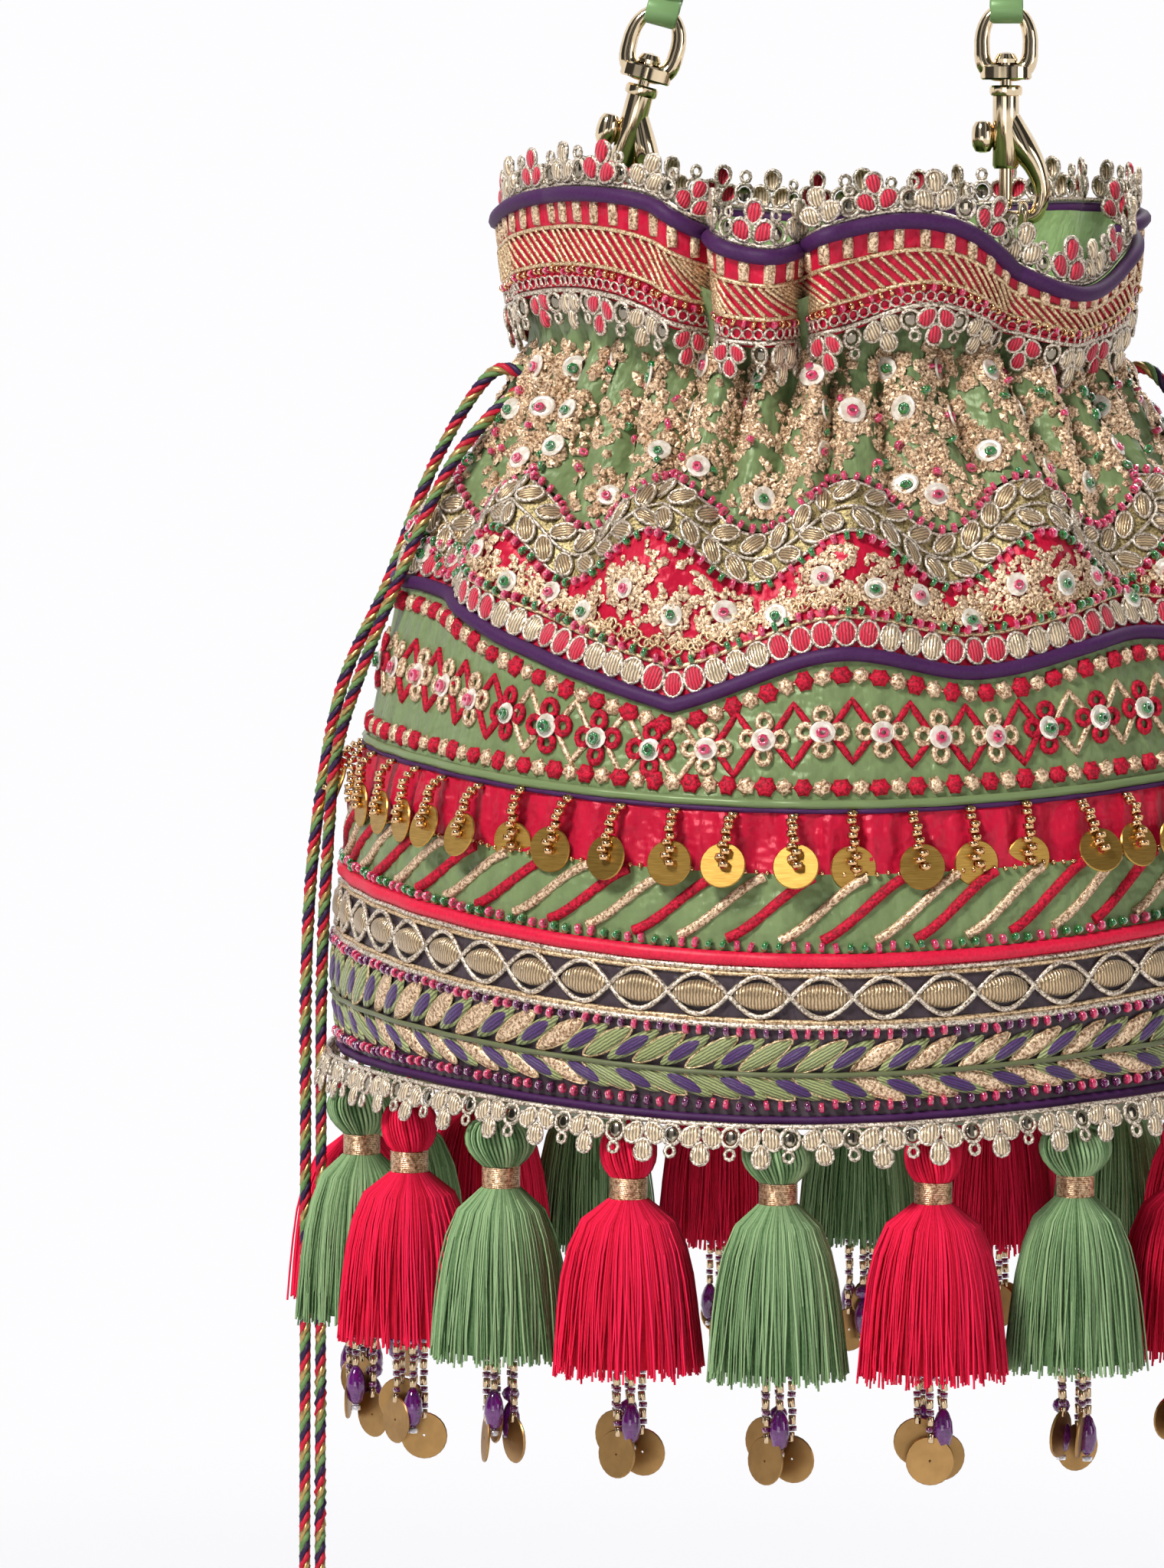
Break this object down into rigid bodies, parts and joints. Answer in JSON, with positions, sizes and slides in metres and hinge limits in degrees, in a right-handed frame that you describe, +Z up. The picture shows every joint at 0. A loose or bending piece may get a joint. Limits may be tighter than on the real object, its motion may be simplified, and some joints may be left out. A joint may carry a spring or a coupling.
{
  "type": "potli bag",
  "caption": "Drawstring pouch of satin tiers hung from a strap by two snap hooks, with bead and disc trims and a ring of yarn tassels.",
  "frame": {"origin": "top of the strap, the point that the bag hangs from, on the bag's own axis", "axes": "+Z up, front of the bag towards -Y, the two hooks along X"},
  "size_m": [0.2472, 0.2454, 0.54],
  "materials": {
    "sage_satin": "sage green satin with metal-thread embroidery",
    "lining_satin": "pale green satin",
    "crimson_satin": "crimson satin",
    "gold_braid": "woven metal-thread braid",
    "purple_piping": "dark purple satin piping",
    "gold_lace": "silver-gold metal-thread lace",
    "brass_disc": "brushed brass discs",
    "polished_gold": "polished light gold plate",
    "strap_satin": "sage satin",
    "cord_yarn": "four-ply twist in crimson, purple, green and gold",
    "green_yarn": "green cotton yarn",
    "red_yarn": "crimson cotton yarn"
  },
  "bodies": {
    "handle": {"strap": "strap_satin", "eye_left": "polished_gold", "eye_right": "polished_gold"},
    "bag": {"neck_panel": "sage_satin", "shoulder_band": "crimson_satin", "diamond_band": "sage_satin", "coin_band": "crimson_satin", "stripe_band": "sage_satin", "hem_band": "gold_braid", "lining": "lining_satin", "base_panel": "sage_satin", "rim_piping": "purple_piping", "wave_piping": "purple_piping", "crimson_piping": "crimson_satin", "hem_piping": "purple_piping", "rim_lace": "gold_lace", "collar_lace": "gold_lace", "hem_lace": "gold_lace", "coin_fringe": "brass_disc", "tab_left": "sage_satin", "tab_right": "sage_satin", "cord_left_outer": "cord_yarn", "cord_left_inner": "cord_yarn", "cord_right_outer": "cord_yarn", "cord_right_inner": "cord_yarn", "knot_left": "cord_yarn", "knot_right": "cord_yarn"},
    "hook_left": {"hook_left": "polished_gold"},
    "bolt_left": {"bolt_left": "polished_gold"},
    "ring_left": {"ring_left": "polished_gold"},
    "hook_right": {"hook_right": "polished_gold"},
    "bolt_right": {"bolt_right": "polished_gold"},
    "ring_right": {"ring_right": "polished_gold"},
    "tassel_01": {"tassel_01": "green_yarn"},
    "tassel_02": {"tassel_02": "red_yarn"},
    "tassel_03": {"tassel_03": "green_yarn"},
    "tassel_04": {"tassel_04": "red_yarn"},
    "tassel_05": {"tassel_05": "green_yarn"},
    "tassel_06": {"tassel_06": "red_yarn"},
    "tassel_07": {"tassel_07": "green_yarn"},
    "tassel_08": {"tassel_08": "red_yarn"},
    "tassel_09": {"tassel_09": "green_yarn"},
    "tassel_10": {"tassel_10": "red_yarn"},
    "tassel_11": {"tassel_11": "green_yarn"},
    "tassel_12": {"tassel_12": "red_yarn"},
    "tassel_13": {"tassel_13": "green_yarn"},
    "tassel_14": {"tassel_14": "red_yarn"},
    "tassel_15": {"tassel_15": "green_yarn"},
    "tassel_16": {"tassel_16": "red_yarn"},
    "tassel_17": {"tassel_17": "green_yarn"},
    "tassel_18": {"tassel_18": "red_yarn"},
    "tassel_19": {"tassel_19": "green_yarn"},
    "tassel_20": {"tassel_20": "red_yarn"}
  },
  "joints": [
    {"name": "bag_swing", "type": "hinge", "parent": "handle", "child": "bag", "pos_m": [0, 0, -0.196], "axis": [1, 0, 0], "range_deg": [-50, 50]},
    {"name": "hook_left_swivel", "type": "hinge", "parent": "handle", "child": "hook_left", "pos_m": [-0.04986, 0, -0.19496], "axis": [0.2588, 0, 0.9659], "range_deg": [-25, 25]},
    {"name": "bolt_left_slide", "type": "slide", "parent": "hook_left", "child": "bolt_left", "axis": [0.2588, 0, 0.9659], "range_m": [0, 0.0055], "stiffness_N_per_m": 250, "springref_m": -0.002},
    {"name": "ring_left_tilt", "type": "hinge", "parent": "bag", "child": "ring_left", "pos_m": [-0.046, 0, -0.2059], "axis": [0, 1, 0], "range_deg": [-0.5, 6]},
    {"name": "hook_right_swivel", "type": "hinge", "parent": "handle", "child": "hook_right", "pos_m": [0.042, 0, -0.196], "axis": [0, 0, 1], "range_deg": [-25, 25]},
    {"name": "bolt_right_slide", "type": "slide", "parent": "hook_right", "child": "bolt_right", "axis": [0, 0, 1], "range_m": [0, 0.0055], "stiffness_N_per_m": 250, "springref_m": -0.002},
    {"name": "ring_right_tilt", "type": "hinge", "parent": "bag", "child": "ring_right", "pos_m": [0.046, 0, -0.2059], "axis": [0, 1, 0], "range_deg": [-6, 2.5]},
    {"name": "tassel_01_swing", "type": "hinge", "parent": "bag", "child": "tassel_01", "pos_m": [-0.0095, -0.10859, -0.3886], "axis": [-0.9962, 0.0872, 0], "range_deg": [-8, 28]},
    {"name": "tassel_02_swing", "type": "hinge", "parent": "bag", "child": "tassel_02", "pos_m": [0.02452, -0.10621, -0.3886], "axis": [-0.9744, -0.225, 0], "range_deg": [-8, 28]},
    {"name": "tassel_03_swing", "type": "hinge", "parent": "bag", "child": "tassel_03", "pos_m": [0.05614, -0.09343, -0.3886], "axis": [-0.8572, -0.515, 0], "range_deg": [-8, 28]},
    {"name": "tassel_04_swing", "type": "hinge", "parent": "bag", "child": "tassel_04", "pos_m": [0.08226, -0.07151, -0.3886], "axis": [-0.6561, -0.7547, 0], "range_deg": [-8, 28]},
    {"name": "tassel_05_swing", "type": "hinge", "parent": "bag", "child": "tassel_05", "pos_m": [0.10033, -0.04259, -0.3886], "axis": [-0.3907, -0.9205, 0], "range_deg": [-8, 28]},
    {"name": "tassel_06_swing", "type": "hinge", "parent": "bag", "child": "tassel_06", "pos_m": [0.10859, -0.0095, -0.3886], "axis": [-0.0872, -0.9962, 0], "range_deg": [-8, 28]},
    {"name": "tassel_07_swing", "type": "hinge", "parent": "bag", "child": "tassel_07", "pos_m": [0.10621, 0.02452, -0.3886], "axis": [0.225, -0.9744, 0], "range_deg": [-8, 28]},
    {"name": "tassel_08_swing", "type": "hinge", "parent": "bag", "child": "tassel_08", "pos_m": [0.09343, 0.05614, -0.3886], "axis": [0.515, -0.8572, 0], "range_deg": [-8, 28]},
    {"name": "tassel_09_swing", "type": "hinge", "parent": "bag", "child": "tassel_09", "pos_m": [0.07151, 0.08226, -0.3886], "axis": [0.7547, -0.6561, 0], "range_deg": [-8, 28]},
    {"name": "tassel_10_swing", "type": "hinge", "parent": "bag", "child": "tassel_10", "pos_m": [0.04259, 0.10033, -0.3886], "axis": [0.9205, -0.3907, 0], "range_deg": [-8, 28]},
    {"name": "tassel_11_swing", "type": "hinge", "parent": "bag", "child": "tassel_11", "pos_m": [0.0095, 0.10859, -0.3886], "axis": [0.9962, -0.0872, 0], "range_deg": [-8, 28]},
    {"name": "tassel_12_swing", "type": "hinge", "parent": "bag", "child": "tassel_12", "pos_m": [-0.02452, 0.10621, -0.3886], "axis": [0.9744, 0.225, 0], "range_deg": [-8, 28]},
    {"name": "tassel_13_swing", "type": "hinge", "parent": "bag", "child": "tassel_13", "pos_m": [-0.05614, 0.09343, -0.3886], "axis": [0.8572, 0.515, 0], "range_deg": [-8, 28]},
    {"name": "tassel_14_swing", "type": "hinge", "parent": "bag", "child": "tassel_14", "pos_m": [-0.08226, 0.07151, -0.3886], "axis": [0.6561, 0.7547, 0], "range_deg": [-8, 28]},
    {"name": "tassel_15_swing", "type": "hinge", "parent": "bag", "child": "tassel_15", "pos_m": [-0.10033, 0.04259, -0.3886], "axis": [0.3907, 0.9205, 0], "range_deg": [-8, 28]},
    {"name": "tassel_16_swing", "type": "hinge", "parent": "bag", "child": "tassel_16", "pos_m": [-0.10859, 0.0095, -0.3886], "axis": [0.0872, 0.9962, 0], "range_deg": [-8, 28]},
    {"name": "tassel_17_swing", "type": "hinge", "parent": "bag", "child": "tassel_17", "pos_m": [-0.10621, -0.02452, -0.3886], "axis": [-0.225, 0.9744, 0], "range_deg": [-8, 28]},
    {"name": "tassel_18_swing", "type": "hinge", "parent": "bag", "child": "tassel_18", "pos_m": [-0.09343, -0.05614, -0.3886], "axis": [-0.515, 0.8572, 0], "range_deg": [-8, 28]},
    {"name": "tassel_19_swing", "type": "hinge", "parent": "bag", "child": "tassel_19", "pos_m": [-0.07151, -0.08226, -0.3886], "axis": [-0.7547, 0.6561, 0], "range_deg": [-8, 28]},
    {"name": "tassel_20_swing", "type": "hinge", "parent": "bag", "child": "tassel_20", "pos_m": [-0.04259, -0.10033, -0.3886], "axis": [-0.9205, 0.3907, 0], "range_deg": [-8, 28]}
  ]
}
